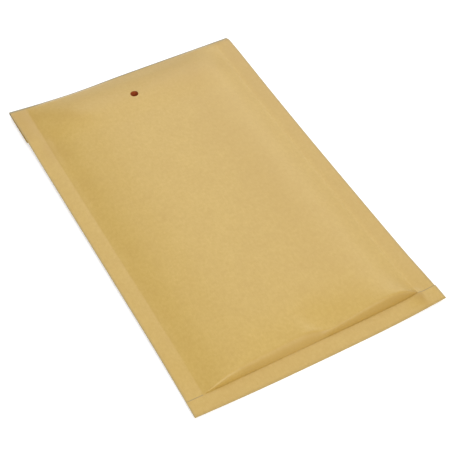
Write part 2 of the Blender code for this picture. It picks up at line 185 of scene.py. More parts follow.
# Shade below the step across the far left corner
STEP_SHADE = 0.15
STEP_SHADE_OFF = 0.0045
STEP_SHADE_WIDTH = 0.0034
STEP_SHADE_IN = (-0.2, 0.2)
STEP_SHADE_OUT = (0.9, 1.15)

DETAIL_START = 0.004
LEAST_SHARE = 0.15
STEEPEST = 3.0
STEEP_PROBE = 0.0006
PROBE = 0.0001

# Bubble film: its thickness, its gaps to the paper and the pouch's edges
FILM = 0.00012
FILM_EASE = 0.00025
FILM_TIGHT_SHARE = 0.3
FILM_GAP = 0.0004
FILM_SIDE_GAP = 0.0030
FILM_FOOT_GAP = 0.0012
FILM_HEAD_GAP = 0.0105
FILM_SEAL = 0.004
FILM_ROOM_SHARE = 0.8
FILM_POCKET_SHARE = 0.6
BUBBLE_FOOT_ROOM = 0.0022
BUBBLE_SQUARE = 0.45
LEAST_BUBBLE = 0.0003
COLLAR = 0.0007

# Spacing of the points, as (finest, coarsest, growth from one to the next), and their counts
ACROSS_STEPS = (0.0003, 0.0016, 1.16)
SEAM_STEPS = (0.0004, 0.002, 1.4)
FOOT_STEPS = (0.00022, 0.0016, 1.12)
HEAD_STEPS = (0.0008, 0.0016, 1.1)
LIP_STEPS = (0.0006, 0.0016, 1.3)
FILM_STEPS = (0.0005, 0.0022, 1.3)
THROAT_ROWS = 5
FLAP_ROWS = 18
FILM_COLUMNS = 64
EDGE_SHARES = (0.0, 0.35)
FOLD_POINTS = 11
HEEL_ANGLES = (60, 30, 0, -30, -60)
HOLE_SIDES = 48
RING_POINTS = 12
SHARP_ANGLE = 40.0

# Noise of the finishes, as (scale, detail, roughness); the cockle's scale is an input of its tree
FIBRES = (2600.0, 4.0, 0.6)
STRAYS = (2100.0, 3.0, 0.6)
MOTTLE = (540.0, 3.0, 0.62)
CLOUDS = (90.0, 5.0, 0.65)
CUT_FRAY = (3200.0, 3.0, 0.6)
HOLE_FRAY = (3000.0, 3.0, 0.6)
HAZE = (260.0, 3.0, 0.5)
STREAKS = (1400.0, 3.0, 0.5)
LINER_FIBRES = (900.0, 4.0, 0.6)
COCKLE_SCALE = 85.0
COCKLE_NOISE = (2.0, 0.5)
WHITE = (1.0, 1.0, 1.0, 1.0)

# Camera, floor and world
CAMERA_AZIMUTH = -28.87
CAMERA_ELEVATION = 49.79
CAMERA_DISTANCE = 0.6035
CAMERA_TARGET = (-0.00157, -0.0186, 0.0)
CAMERA_LENS = 91.6
CAMERA_SENSOR = 36.0
CAMERA_CLIP = (0.01, 20.0)
FLOOR_SIZE = 6.0
FLOOR_GLOW = 0.42
WORLD_STRENGTH = 0.35

# Lamps, as (azimuth, elevation, distance, size, power)
BACK_LAMP = (140.0, 42.0, 2.2, 1.8, 20.0)
FRONT_LAMP = (-8.0, 51.0, 2.4, 2.0, 41.8)


class EnvelopeSizes(bpy.types.PropertyGroup):
    """Sizes of the envelope's pieces."""

    width: bpy.props.FloatProperty(
        name="Width", description="Width across the side seams", subtype="DISTANCE", unit="LENGTH",
        precision=4, default=COVER_HIGH.x - COVER_LOW.x)
    length: bpy.props.FloatProperty(
        name="Length", description="Length from the bottom fold to the top fold", subtype="DISTANCE",
        unit="LENGTH", precision=4, default=COVER_HIGH.y - COVER_LOW.y - BOTTOM_BOW)
    ply: bpy.props.FloatProperty(
        name="Ply", description="Thickness of one ply of kraft paper", subtype="DISTANCE",
        unit="LENGTH", precision=5, default=0.0002)
    padding: bpy.props.FloatProperty(
        name="Padding", description="Free height between the plies where the padding is full",
        subtype="DISTANCE", unit="LENGTH", precision=4, default=0.0064)
    left_seam: bpy.props.FloatProperty(
        name="Left Seam", description="Width of the glued left seam", subtype="DISTANCE",
        unit="LENGTH", precision=4, default=0.0088)
    right_seam: bpy.props.FloatProperty(
        name="Right Seam", description="Width of the glued right seam", subtype="DISTANCE",
        unit="LENGTH", precision=4, default=0.0100)
    lip: bpy.props.FloatProperty(
        name="Lip", description="Width of the lip glued over the bottom of the front",
        subtype="DISTANCE", unit="LENGTH", precision=4, default=0.0089)
    flap: bpy.props.FloatProperty(
        name="Flap", description="Length of the flap folded underneath", subtype="DISTANCE",
        unit="LENGTH", precision=4, default=0.026)
    hole: bpy.props.FloatProperty(
        name="Hole", description="Diameter of the punched clip hole", subtype="DISTANCE",
        unit="LENGTH", precision=4, default=0.0046)
    hole_x: bpy.props.FloatProperty(
        name="Hole Offset", description="Hole's distance right of the middle", subtype="DISTANCE",
        unit="LENGTH", precision=4, default=-0.0029)
    hole_from_fold: bpy.props.FloatProperty(
        name="Hole From Fold", description="Hole's distance from the top fold", subtype="DISTANCE",
        unit="LENGTH", precision=4, default=0.0242)
    cockle: bpy.props.FloatProperty(
        name="Cockle", description="Height of the paper's soft unevenness", subtype="DISTANCE",
        unit="LENGTH", precision=5, default=0.00016)
    bubble: bpy.props.FloatProperty(
        name="Bubble", description="Diameter of one air bubble", subtype="DISTANCE",
        unit="LENGTH", precision=4, default=0.0094)
    bubble_pitch: bpy.props.FloatProperty(
        name="Bubble Pitch", description="Distance between bubble centres", subtype="DISTANCE",
        unit="LENGTH", precision=4, default=0.0106)


class EnvelopeColours(bpy.types.PropertyGroup):
    """Colours of the envelope's finishes."""

    kraft: bpy.props.FloatVectorProperty(
        name="Kraft", description="Colour of the kraft paper", subtype="COLOR", size=3,
        min=0.0, max=1.0, default=(0.560, 0.372, 0.088))
    kraft_pale: bpy.props.FloatVectorProperty(
        name="Pale Kraft", description="Colour of the paler fibres", subtype="COLOR", size=3,
        min=0.0, max=1.0, default=(0.665, 0.468, 0.142))
    # Deep Kraft is also the colour that the painted shade on the front and the lip darkens towards
    kraft_deep: bpy.props.FloatVectorProperty(
        name="Deep Kraft", description="Colour of the darker fibres", subtype="COLOR", size=3,
        min=0.0, max=1.0, default=(0.455, 0.275, 0.057))
    # Colour of the painted shade along the outer folds and edges
    kraft_rim_shade: bpy.props.FloatVectorProperty(
        name="Worn Kraft", description="Colour of the paper along its outer folds and edges",
        subtype="COLOR", size=3, min=0.0, max=1.0, default=(0.23, 0.20, 0.11))
    cut_edge: bpy.props.FloatVectorProperty(
        name="Cut Edge", description="Colour of the paper's cut edges", subtype="COLOR", size=3,
        min=0.0, max=1.0, default=(0.40, 0.29, 0.13))
    # Red-brown of kraft paper in deep shade, painted into the colour inside the hole
    hole_shade_colour: bpy.props.FloatVectorProperty(
        name="Hole Wall", description="Colour inside the punched hole", subtype="COLOR", size=3,
        min=0.0, max=1.0, default=(0.62, 0.13, 0.035))
    film: bpy.props.FloatVectorProperty(
        name="Bubble Film", description="Colour of the clear bubble film", subtype="COLOR", size=3,
        min=0.0, max=1.0, default=(0.86, 0.88, 0.90))
    floor: bpy.props.FloatVectorProperty(
        name="Floor", description="Colour of the white floor", subtype="COLOR", size=3,
        min=0.0, max=1.0, default=(0.80, 0.80, 0.80))


def clamp(value):
    """Values kept between 0 and 1."""
    return np.clip(value, 0.0, 1.0)


def ease(start, end, value):
    """A smooth step from 0 at start to 1 at end."""
    share = clamp((value - start) / (end - start))
    return share * share * (3 - 2 * share)


def mix(first, second, share):
    """A value part of the way from first to second."""
    return first + (second - first) * share


def rounded(distance, reach, power):
    """A rise from 0 at an edge towards 1 well inside it."""
    return 1 - np.exp(-(np.maximum(distance, 0.0) / reach) ** power)


def bump(distance, width):
    """A round bump that is 1 in the middle and fades over a width."""
    return np.exp(-(distance / width) ** 2)


def lean(distance, width_below, width_above):
    """A round bump whose two sides fade over widths of their own."""
    return bump(distance, np.where(distance > 0, width_above, width_below))


def meet(first, second):
    """Two rises as one that stays near the lower of them, as where two slopes meet in a corner."""
    lowest = np.minimum(first, second)
    with_both = np.maximum(first, PROBE) ** -CORNER_FILL + np.maximum(second, PROBE) ** -CORNER_FILL - 1
    return np.minimum(with_both ** (-1 / CORNER_FILL), lowest)


def curve(points, place):
    """Values at places on a smooth curve through (place, value) points, kept between neighbours."""
    places, values = np.array(points).T
    slopes = np.empty_like(values)
    slopes[1:-1] = (values[2:] - values[:-2]) / (places[2:] - places[:-2])
    slopes[0] = (values[1] - values[0]) / (places[1] - places[0])
    slopes[-1] = (values[-1] - values[-2]) / (places[-1] - places[-2])
    place = np.asarray(place, float)
    index = np.clip(np.searchsorted(places, place) - 1, 0, len(places) - 2)
    span = places[index + 1] - places[index]
    share = clamp((place - places[index]) / span)
    low, high = values[index], values[index + 1]
    value = (low * (1 + 2 * share) * (1 - share) ** 2
             + slopes[index] * span * share * (1 - share) ** 2
             + high * share ** 2 * (3 - 2 * share)
             + slopes[index + 1] * span * share ** 2 * (share - 1))
    return np.clip(value, np.minimum(low, high), np.maximum(low, high))


def at(rule, x, y):
    """The value of a rule at one point."""
    return float(rule(np.array([x]), np.array([y]))[0])


def beside(x, y, start, end):
    """Signed distance from a line through two points, and the share of the way along it."""
    run_x, run_y = end[0] - start[0], end[1] - start[1]
    length = math.hypot(run_x, run_y)
    off_x, off_y = x - start[0], y - start[1]
    return ((off_x * run_y - off_y * run_x) / length, (off_x * run_x + off_y * run_y) / length ** 2, length)


class Shape:
    """The envelope's rules of shape, for given sizes."""

    def __init__(self, sizes):
        self.width = sizes.width
        self.length = sizes.length
        self.ply = sizes.ply
        self.full = sizes.padding
        self.half = sizes.width / 2
        self.left_seam_x = sizes.left_seam - self.half
        self.right_seam_x = self.half - sizes.right_seam
        self.heel_y = (BOTTOM_BOW - sizes.length) / 2
        self.fold_y = self.heel_y + sizes.length
        self.lip = sizes.lip
        self.lip_y = self.heel_y + sizes.lip
        self.pocket_y = self.lip_y + FOOT_SETBACK
        self.mouth_y = self.fold_y - MOUTH_DROP
        self.flap_y = self.fold_y - sizes.flap
        self.fold_line = self.fold_y - STRIP_START
        self.nose = 2 * sizes.ply
        self.hole_radius = sizes.hole / 2
        self.hole_centre = (sizes.hole_x, self.fold_y - sizes.hole_from_fold)

    def across(self, x):
        """Share of the width at x, from the left edge."""
        return x / self.width + 0.5

    def along(self, y):
        """Share of the length at y, from the bottom edge."""
        return (y - self.heel_y) / self.length

    def side_rise(self, x, foot):
        """How full the padding is between the side seams: it rises fastest at the foot's right end."""
        left = rounded(x - self.left_seam_x, LEFT_REACH, LEFT_POWER)
        hurry = 1 + CORNER_TIGHT * bump(foot, CORNER_REACH)
        return left * rounded((self.right_seam_x - x) * hurry, RIGHT_REACH, RIGHT_POWER)

    def foot_rise(self, x, distance):
        """How full the padding is at a distance from the bottom of the pocket."""
        steep = np.sin(math.pi / 2 * clamp(distance / curve(FOOT_ROUND, self.across(x))))
        return mix(rounded(distance, FOOT_REACH, FOOT_POWER), steep, FOOT_ROUND_SHARE)

    def crest(self, x, y):
        """Height of the soft crest beside the right slope."""
        off = x - curve(CREST_X, self.along(y))
        return CREST_HEIGHT * lean(off, CREST_GENTLE_WIDTH, CREST_STEEP_WIDTH)

    def valley(self, x, y):
        """Share of the padding that the crease between the two bulges takes away."""
        off, share, _ = beside(x, y, VALLEY_START, VALLEY_END)
        fade = 1 - ease(0.0, VALLEY_FADE, share)
        return VALLEY_SHARE * lean(off, VALLEY_STEEP_WIDTH, VALLEY_GENTLE_WIDTH) * fade

    def step(self, x, y):
        """Height of the step across the far left corner."""
        off, share, length = beside(x, y, STEP_START, STEP_END)
        fade = STEP_FADE / length
        held = ease(-fade, fade, share) * (1 - ease(1 - fade, 1 + 2 * fade, share))
        return STEP_HEIGHT * lean(off, STEP_GENTLE_WIDTH, STEP_STEEP_WIDTH) * held

    def step_shade(self, x, y):
        """How much deeper the paper looks below that step."""
        off, share, _ = beside(x, y, STEP_START, STEP_END)
        held = ease(*STEP_SHADE_IN, share) * (1 - ease(*STEP_SHADE_OUT, share))
        return STEP_SHADE * bump(off - STEP_SHADE_OFF, STEP_SHADE_WIDTH) * held

    def puckers(self, x, y):
        """Depth of the small dents along the left seam."""
        depth = 0.0
        for place, strength in PUCKERS:
            depth = depth + strength * bump(y - place, PUCKER_LENGTH)
        away = np.maximum((x - self.left_seam_x) / PUCKER_REACH, 0.0)
        return PUCKER_DEPTH * depth * away * np.exp(1 - 2 * away)

    def padding(self, x, y):
        """Free height between the two plies, which is 0 on the glued seams."""
        left = np.maximum(x - self.left_seam_x, 0.0)
        right = np.maximum(self.right_seam_x - x, 0.0)
        foot = np.maximum(y - self.pocket_y, 0.0)
        inside = np.minimum(np.minimum(left, right), foot)
        sides = self.side_rise(x, foot)
        plain = self.full * meet(sides, self.foot_rise(x, foot)) * (1 - self.valley(x, y))
        plain = plain * rounded(self.fold_y - y, HEAD_REACH, HEAD_POWER)
        detail = self.step(x, y) + self.crest(x, y) * sides - self.puckers(x, y)
        height = plain + detail * ease(0.0, DETAIL_START, inside)
        return np.where(inside > PROBE / 2, np.maximum(height, LEAST_SHARE * plain), 0.0)

    def steepness(self, x, y):
        """Length of a thickness measured straight up through the sloping front ply."""
        reach = STEEP_PROBE
        rise_x = (self.padding(x + reach, y) - self.padding(x - reach, y)) / (2 * reach)
        rise_y = (self.padding(x, y + reach) - self.padding(x, y - reach)) / (2 * reach)
        steep = np.minimum(np.sqrt(1 + rise_x ** 2 + rise_y ** 2), STEEPEST)
        return np.where(self.padding(x, y) > 0.0, steep, 1.0)

    def flap_under(self, x, y):
        """Height of the flap's underside."""
        return curve(FLAP_LIFT, self.across(x))

    def flap_inside(self, x, y):
        """Height of the flap's inner face."""
        return self.flap_under(x, y) + self.ply

    def lying_back(self, x, y):
        """Height of the back ply's underside, below the line where the front turns to the fold."""
        left = curve(LEFT_LIFT, self.along(y)) * (1 - ease(EDGE_FLAT, EDGE_REACH, x + self.half))
        right = curve(RIGHT_LIFT, self.along(y)) * (1 - ease(EDGE_FLAT, EDGE_REACH, self.half - x))
        bottom = curve(BOTTOM_LIFT, self.across(x))
        stack = STRIP_STACK * mix(STACK_END_SHARE, 1, ease(0.0, STACK_END, self.half - abs(x)))
        head = self.flap_under(x, y) + stack + curve(HEAD_LIFT, self.across(x))
        body = mix(bottom, left + right, ease(self.lip_y, self.lip_y + BOTTOM_REACH, y))
        rise = lean(x - LIP_RISE_X, LIP_RISE_GENTLE_WIDTH, LIP_RISE_STEEP_WIDTH)
        held = ease(self.heel_y, self.lip_y, y) * (1 - ease(0.0, LIP_RISE_REACH, y - self.lip_y))
        body = body + LIP_RISE * rise * held
        return mix(body, head, ease(self.fold_y - HEAD_START, self.fold_y - HEAD_FULL, y))

    def back_under(self, x, y):
        """Height of the back ply's underside."""
        line = np.full_like(x, self.fold_line)
        start = self.lying_back(x, line) + self.padding(x, line)
        end = curve(FOLD_TOP, self.across(x)) - 2 * self.ply
        share = (y - self.fold_line) / (self.fold_y - self.nose - self.fold_line)
        turned = mix(start, end, share) - self.padding(x, y)
        return np.where(y <= self.fold_line, self.lying_back(x, y), turned)

    def back_inside(self, x, y):
        """Height of the back ply's inner face."""
        return self.back_under(x, y) + self.ply

    def front_inside(self, x, y):
        """Height of the front ply's inner face."""
        return self.back_inside(x, y) + self.padding(x, y)

    def front_top(self, x, y):
        """Height of the front ply's outer face."""
        return self.front_inside(x, y) + self.ply * self.steepness(x, y)

    def throat_inside(self, x, y):
        """Height of the front ply's inner face beyond the mouth."""
        return self.front_top(x, y) - self.ply

    def lip_top(self, x, y):
        """Height of the lip's outer face, one ply above the front."""
        return self.back_under(x, y) + 3 * self.ply

    def bowed(self, x, y):
        """Y of a point, with the bottom edge bowed out between its corners."""
        return y - BOTTOM_BOW * (1 - (x / self.half) ** 2) * clamp((self.lip_y - y) / self.lip)

    def drawn(self, x, y):
        """X of a point of the pouch, whose side edges are drawn in by the padding."""
        draw = np.where(x < 0, curve(LEFT_DRAW, self.along(y)), curve(RIGHT_DRAW, self.along(y)))
        return x * (1 - draw / self.half)


def graded(start, end, finest, coarsest, growth):
    """Places from start to end, close together at start and growing to an even spacing."""
    direction = 1 if end > start else -1
    span = abs(end - start)
    steps = []
    step = finest
    while sum(steps) + step < span:
        steps.append(step)
        step = min(step * growth, coarsest)
    scale = span / (sum(steps) + step)
    place = start
    places = [start]
    for step in [*steps, step]:
        place += direction * step * scale
        places.append(place)
    return places


def two_sided(start, end, finest, coarsest, growth):
    """Places from start to end, close together at both ends."""
    middle = (start + end) / 2
    first = graded(start, middle, finest, coarsest, growth)
    second = graded(end, middle, finest, coarsest, growth)
    return sorted([*first[:-1], *second])


# Marks each point carries: relief, painted shade, and painted shade along the outline
LAYERS = ("relief", "deep", "rim_shade")
NO_MARKS = (0.0, 0.0, 0.0)
FULL_RIM_SHADE = (0.0, 0.0, 1.0)


def placed(name, data):
    """A new object in the scene, with its name and data."""
    made = bpy.data.objects.new(name, data)
    bpy.context.collection.objects.link(made)
    return made


class Skin:
    """A mesh made of columns of points with faces between them."""

    def __init__(self, columns):
        self.mesh = bmesh.new()
        self.columns = columns
        self.layers = [self.mesh.verts.layers.float.new(name) for name in LAYERS]

    def points(self, rows, height, across, along, marks=None, columns=None):
        """Columns of new points, with the height, x and y that rules give."""
        used = self.columns if columns is None else columns
        x, y = np.meshgrid(used, rows, indexing="ij")
        places = np.stack([across(x, y), along(x, y), height(x, y)], -1)
        values = np.zeros((*x.shape, len(LAYERS))) if marks is None else marks(x, y)
        made = []
        for column, of_column in zip(places, values):
            made.append([self.point(place, of_point) for place, of_point in zip(column, of_column)])
        return made

    def point(self, place, values=NO_MARKS):
        """One new point with its relief, painted shade and painted rim shade values."""
        vertex = self.mesh.verts.new(place)
        for layer, value in zip(self.layers, values):
            vertex[layer] = value
        return vertex

    def faces(self, columns, material=0):
        """Faces between neighbouring columns of points."""
        for first, second in zip(columns, columns[1:]):
            for low, high in zip(zip(first, second), zip(first[1:], second[1:])):
                self.face((low[0], low[1], high[1], high[0]), material)

    def face(self, corners, material=0):
        """One new face."""
        made = self.mesh.faces.new(corners)
        made.material_index = material
        made.smooth = True

    def finish(self, name, materials):
        """The mesh as a new object with its faces turned outwards."""
        bmesh.ops.recalc_face_normals(self.mesh, faces=self.mesh.faces[:])
        data = bpy.data.meshes.new(name)
        self.mesh.to_mesh(data)
        self.mesh.free()
        data.set_sharp_from_angle(angle=math.radians(SHARP_ANGLE))
        for material in materials:
            data.materials.append(material)
        return placed(name, data)


def plain_x(x, y):
    """X as laid out."""
    return x


def plain_y(x, y):
    """Y as laid out."""
    return y


def joined(*parts):
    """Columns of points laid end to end."""
    return [sum(pieces, []) for pieces in zip(*parts)]


def turned(columns):
    """Columns of points in the other order."""
    return [points[::-1] for points in columns]


def fold_round(skin, shape, inset):
    """Points round the top fold, from the flap up to the front ply."""
    made = []
    angles = np.radians(np.linspace(-90, 90, FOLD_POINTS))
    for x in skin.columns:
        top = float(curve(FOLD_TOP, shape.across(x)))
        low = float(curve(FLAP_LIFT, shape.across(x)))
        y = shape.fold_y - shape.nose + (shape.nose - inset) * np.cos(angles)
        z = (top + low) / 2 + ((top - low) / 2 - inset) * np.sin(angles)
        # Every point round the top fold takes the full painted rim shade
        made.append([skin.point((x, *place), FULL_RIM_SHADE) for place in zip(y, z)])
    return made


def heel_round(skin, shape):
    """Points round the bottom fold, from the lip down to the back ply."""
    made = []
    thick = 3 * shape.ply
    angles = np.radians(HEEL_ANGLES)
    for x in skin.columns:
        low = at(shape.back_under, x, shape.heel_y)
        y = float(shape.bowed(x, shape.heel_y)) + shape.ply * (1 - np.cos(angles))
        z = low + thick / 2 * (1 + np.sin(angles))
        # The bottom fold carries the lip's painted shade and the painted shade along the outline
        made.append([skin.point((x, *place), (0.0, LIP_PAINTED_SHADE, RIM_SHADE_FOOT)) for place in zip(y, z)])
    return made


def column_places(shape):
    """X of the columns, closest beside the seams."""
    inner = two_sided(shape.left_seam_x, shape.right_seam_x, *ACROSS_STEPS)
    left = graded(shape.left_seam_x, -shape.half + RIM_SHADE_WIDTH, *SEAM_STEPS)[1:]
    right = graded(shape.right_seam_x, shape.half - RIM_SHADE_WIDTH, *SEAM_STEPS)[1:]
    edges = [side * (shape.half - share * RIM_SHADE_WIDTH) for side in (-1, 1) for share in EDGE_SHARES]
    return sorted([*left, *inner, *right, *edges])


def row_places(shape):
    """Y of the rows from the bottom of the pocket to the mouth, closest at the foot."""
    middle = (shape.pocket_y + shape.fold_line) / 2
    foot = graded(shape.pocket_y, middle, *FOOT_STEPS)
    head = graded(shape.fold_line, middle, *HEAD_STEPS)
    return sorted([*foot, *head[:-1], (shape.fold_line + shape.mouth_y) / 2, shape.mouth_y])


def front_marks(shape):
    """Rule for the front ply's marks: its soft unevenness, its painted shade and the painted shade along its
    outline.
    """
    def rule(x, y):
        left, right = x - shape.left_seam_x, shape.right_seam_x - x
        foot, head = y - shape.pocket_y, shape.fold_y - y
        inside = np.minimum(np.minimum(left, right), foot)
        relief = ease(*RELIEF_IN, inside) * ease(*RELIEF_AT_HEAD, head)
        # Painted shade on the seams: darker beside the right and the left seam
        deep = RIGHT_SEAM_SHADE * ease(*RIGHT_SEAM_SHADE_IN, -right) + LEFT_SEAM_SHADE * ease(*SEAM_IN, -left)
        near_head = 1 - ease(*HEAD_SIDES, head)
        # A painted shadow line beside the left seam, and painted shade below the step
        deep = deep + SEAM_SHADOW_LINE * bump(left, SEAM_SHADOW_WIDTH) * (1 - near_head) + shape.step_shade(x, y)
        # Soft patches of painted shade
        for patch_x, patch_y, width, length, strength in SHADE_PATCHES:
            deep = deep + strength * bump(x - patch_x, width) * bump(y - patch_y, length)
        pocket = np.minimum(left, right) > 0.0
        # Painted shade on the steep foot of the padding
        up_the_foot = foot / curve(FOOT_ROUND, shape.across(x))
        deep = deep + curve(FOOT_SHADE, shape.across(x)) * (1 - ease(*FOOT_SHADE_OUT, up_the_foot)) * pocket
        # A painted shadow line along the lip's edge over the margins
        deep = np.where(~pocket & (foot < PROBE), LIP_SHADOW_LINE, deep)
        # Painted shade towards the top fold, on the padding and on the margins
        deep = deep + HEAD_SHADE * (1 - ease(*HEAD_BAND, head)) * ease(*HEAD_BAND_LEFT, left) * pocket
        margins = HEAD_SHADE_LEFT * ease(*HEAD_SEAM_IN, -left) + HEAD_SHADE_RIGHT * ease(*SEAM_IN, -right)
        deep = deep + margins * near_head
        # Painted shade along the outline, stronger at the lip's edge
        rim_shade_share = np.where(~pocket & (foot < PROBE), LIP_RIM_SHADE, rim_shade(shape, x, y))
        return np.stack([relief, deep, rim_shade_share], -1)
    return rule


def lip_marks(shape):
    """Rule for the lip's marks: its painted shade and the painted shade along its outline."""
    def rule(x, y):
        # Painted shade over the whole lip, with a painted shadow near its right end
        shade = lean(x - LIP_RISE_X, LIP_SHADE_WIDTH, LIP_RISE_STEEP_WIDTH)
        shade = shade * mix(LIP_SHADE_LOW, 1.0, ease(shape.heel_y, shape.lip_y, y))
        return np.stack([np.zeros_like(x), LIP_PAINTED_SHADE + LIP_SHADE * shade, rim_shade(shape, x, y)], -1)
    return rule


def rim_shade(shape, x, y):
    """How much painted shade darkens the paper along the outline."""
    side = RIM_SHADE_SIDE * (1 - ease(0.0, RIM_SHADE_WIDTH, shape.half - abs(x)))
    foot = RIM_SHADE_FOOT * (1 - ease(0.0, RIM_SHADE_WIDTH, y - shape.heel_y))
    head = 1 - ease(0.0, RIM_SHADE_FOLD, shape.fold_y - shape.nose - y)
    return np.maximum(side, np.maximum(foot, head))


def cover_skin(shape):
    """The folded and glued paper cover as one closed mesh, open at its mouth."""
    skin = Skin(column_places(shape))
    rows = row_places(shape)
    lip_rows = graded(shape.lip_y, shape.heel_y + shape.ply, *LIP_STEPS)[::-1]
    throat_rows = np.linspace(shape.mouth_y, shape.fold_y - shape.nose, THROAT_ROWS)
    flap_rows = np.linspace(shape.flap_y, shape.fold_y - shape.nose, FLAP_ROWS)
    marks = front_marks(shape)

    flap_out = skin.points(flap_rows[:-1], shape.flap_under, plain_x, plain_y)
    flap_in = skin.points(flap_rows[:-1], shape.flap_inside, plain_x, plain_y)
    fold_out = fold_round(skin, shape, 0.0)
    fold_in = fold_round(skin, shape, shape.ply)
    throat_out = skin.points(throat_rows[1:-1], shape.front_top, shape.drawn, plain_y, marks)
    throat_in = skin.points(throat_rows[:-1], shape.throat_inside, shape.drawn, plain_y)
    front = skin.points([shape.lip_y] + rows, shape.front_top, shape.drawn, shape.bowed, marks)
    lip = skin.points(lip_rows, shape.lip_top, plain_x, shape.bowed, lip_marks(shape))
    heel = heel_round(skin, shape)
    back = skin.points(lip_rows + rows, shape.back_under, shape.drawn, shape.bowed)

    front_down, lip_down, throat_down = turned(front), turned(lip), turned(throat_out)
    throat_back = turned(throat_in)
    skin.faces(joined(flap_out, fold_out, throat_down, front_down))
    skin.faces([[high[0], low[-1]] for high, low in zip(front, lip)], 1)
    skin.faces(joined(lip_down, heel, back))
    skin.faces(joined(flap_in, fold_in, throat_back))
    skin.faces([[out[0], inside[0]] for out, inside in zip(flap_out, flap_in)], 1)
    pocket_faces(skin, shape, rows, back, throat_in, marks)
    for side in (0, -1):
        outside = flap_out[side] + fold_out[side] + throat_down[side]
        inside = flap_in[side] + fold_in[side] + throat_back[side][:-1]
        skin.faces([outside, inside], 1)
        side_faces(skin, front[side], back[side], lip[side], heel[side], throat_out[side], throat_in[side])
    return skin


def pocket_faces(skin, shape, rows, back, throat_in, marks):
    """Inner faces of both plies, which meet along the seams, and the back ply's edge at the mouth."""
    first = skin.columns.index(shape.left_seam_x)
    last = skin.columns.index(shape.right_seam_x)
    inner = skin.columns[first:last + 1]
    floor = skin.points(rows, shape.back_inside, shape.drawn, shape.bowed, columns=inner)
    roof = skin.points(rows[1:-1], shape.front_inside, shape.drawn, shape.bowed, marks, inner[1:-1])
    for side, index in ((0, first), (-1, last)):
        skin.mesh.verts.remove(floor[side][-1])
        floor[side][-1] = throat_in[index][0]
    upper = [floor[0]]
    for low, high, index in zip(floor[1:-1], roof, range(first + 1, last)):
        upper.append([low[0], *high, throat_in[index][0]])
    upper.append(floor[-1])
    skin.faces(floor)
    skin.faces(upper)
    edges = [points[0] for points in throat_in]
    edges[first:last + 1] = [points[-1] for points in floor]
    skin.faces([[under[-1], edge] for under, edge in zip(back, edges)], 1)


def side_faces(skin, front, back, lip, heel, throat_out, throat_in):
    """Cut edge of the glued plies down one side of the envelope."""
    strip = len(lip) - 1
    body = back[strip:]
    skin.face((front[-1], throat_out[0], throat_in[1], throat_in[0]), 1)
    for row in range(len(front) - 2):
        skin.face((front[row], front[row + 1], body[row + 1], body[row]), 1)
    skin.face((front[-2], front[-1], throat_in[0], body[-1], body[-2]), 1)
    for row in range(strip - 1):
        skin.face((lip[row], lip[row + 1], back[row + 1], back[row]), 1)
    skin.face((lip[strip - 1], lip[strip], front[0], back[strip], back[strip - 1]), 1)
    skin.face((*heel, back[0], lip[0]), 1)


def punch_tool(shape, material):
    """A round cutter for the clip hole."""
    mesh = bmesh.new()
    bmesh.ops.create_cone(mesh, cap_ends=True, segments=HOLE_SIDES, radius1=shape.hole_radius,
                          radius2=shape.hole_radius, depth=4 * shape.full)
    data = bpy.data.meshes.new("punch_tool")
    mesh.to_mesh(data)
    mesh.free()
    data.materials.append(material)
    tool = placed("punch_tool", data)
    tool.location = (*shape.hole_centre, 0.0)
    return tool


def punched(piece, shape, material):
    """Cut the clip hole through a piece, with a material of its own on the hole's wall."""
    tool = punch_tool(shape, material)
    piece.data.materials.append(material)
    cut = piece.modifiers.new("punch", "BOOLEAN")
    cut.operation = "DIFFERENCE"
    cut.object = tool
    cut.material_mode = "TRANSFER"
    freeze(piece)
    bpy.data.objects.remove(tool, do_unlink=True)


def freeze(piece):
    """Turn a piece's evaluated shape into a plain mesh and remove its modifiers."""
    bpy.context.view_layer.update()
    depsgraph = bpy.context.evaluated_depsgraph_get()
    name = piece.data.name
    data = bpy.data.meshes.new_from_object(piece.evaluated_get(depsgraph), depsgraph=depsgraph)
    old = piece.data
    piece.modifiers.clear()
    piece.data = data
    bpy.data.meshes.remove(old)
    data.name = name


class Tree:
    """Short calls for building a node tree."""

    def __init__(self, tree):
        self.tree = tree

    def fill(self, made, inputs):
        """Give a node's inputs, by name or number, a value or the output of another node."""
        for socket, value in inputs.items():
            if isinstance(value, bpy.types.NodeSocket):
                self.tree.links.new(value, made.inputs[socket])
            else:
                made.inputs[socket].default_value = value

    def node(self, kind, inputs=(), **settings):
        """A new node with its settings and its inputs."""
        made = self.tree.nodes.new(kind)
        for name, value in settings.items():
            setattr(made, name, value)
        self.fill(made, dict(inputs))
        return made

    def math(self, operation, first, second):
        """The result of a Math node."""
        return self.node("ShaderNodeMath", {0: first, 1: second}, operation=operation).outputs[0]

    def place(self, scale=(1.0, 1.0, 1.0), rotation=(0.0, 0.0, 0.0)):
        """Object coordinates, stretched and turned."""
        plain = self.node("ShaderNodeTexCoord").outputs["Object"]
        moved = self.node("ShaderNodeMapping", {"Vector": plain, "Scale": scale, "Rotation": rotation})
        return moved.outputs[0]

    def named(self, attribute):
        """A number that each point carries."""
        made = self.node("GeometryNodeInputNamedAttribute", {"Name": attribute}, data_type="FLOAT")
        return made.outputs[0]

    def ranged(self, value, low, high, to_low=0.0, to_high=1.0):
        """A value mapped from one range to another."""
        made = self.node("ShaderNodeMapRange", {"Value": value, "From Min": low, "From Max": high,
                                                "To Min": to_low, "To Max": to_high})
        return made.outputs["Result"]

    def mixed(self, share, first, second):
        """A colour mixed from two."""
        return self.node("ShaderNodeMix", {0: share, 6: first, 7: second}, data_type="RGBA").outputs[2]

    def noise(self, coordinates, scale, detail, roughness):
        """A noise texture's value."""
        made = self.node("ShaderNodeTexNoise", {"Vector": coordinates, "Scale": scale, "Detail": detail,
                                                "Roughness": roughness})
        return made.outputs["Fac"]


def colour(value):
    """A colour with full alpha."""
    return (*value, 1.0)


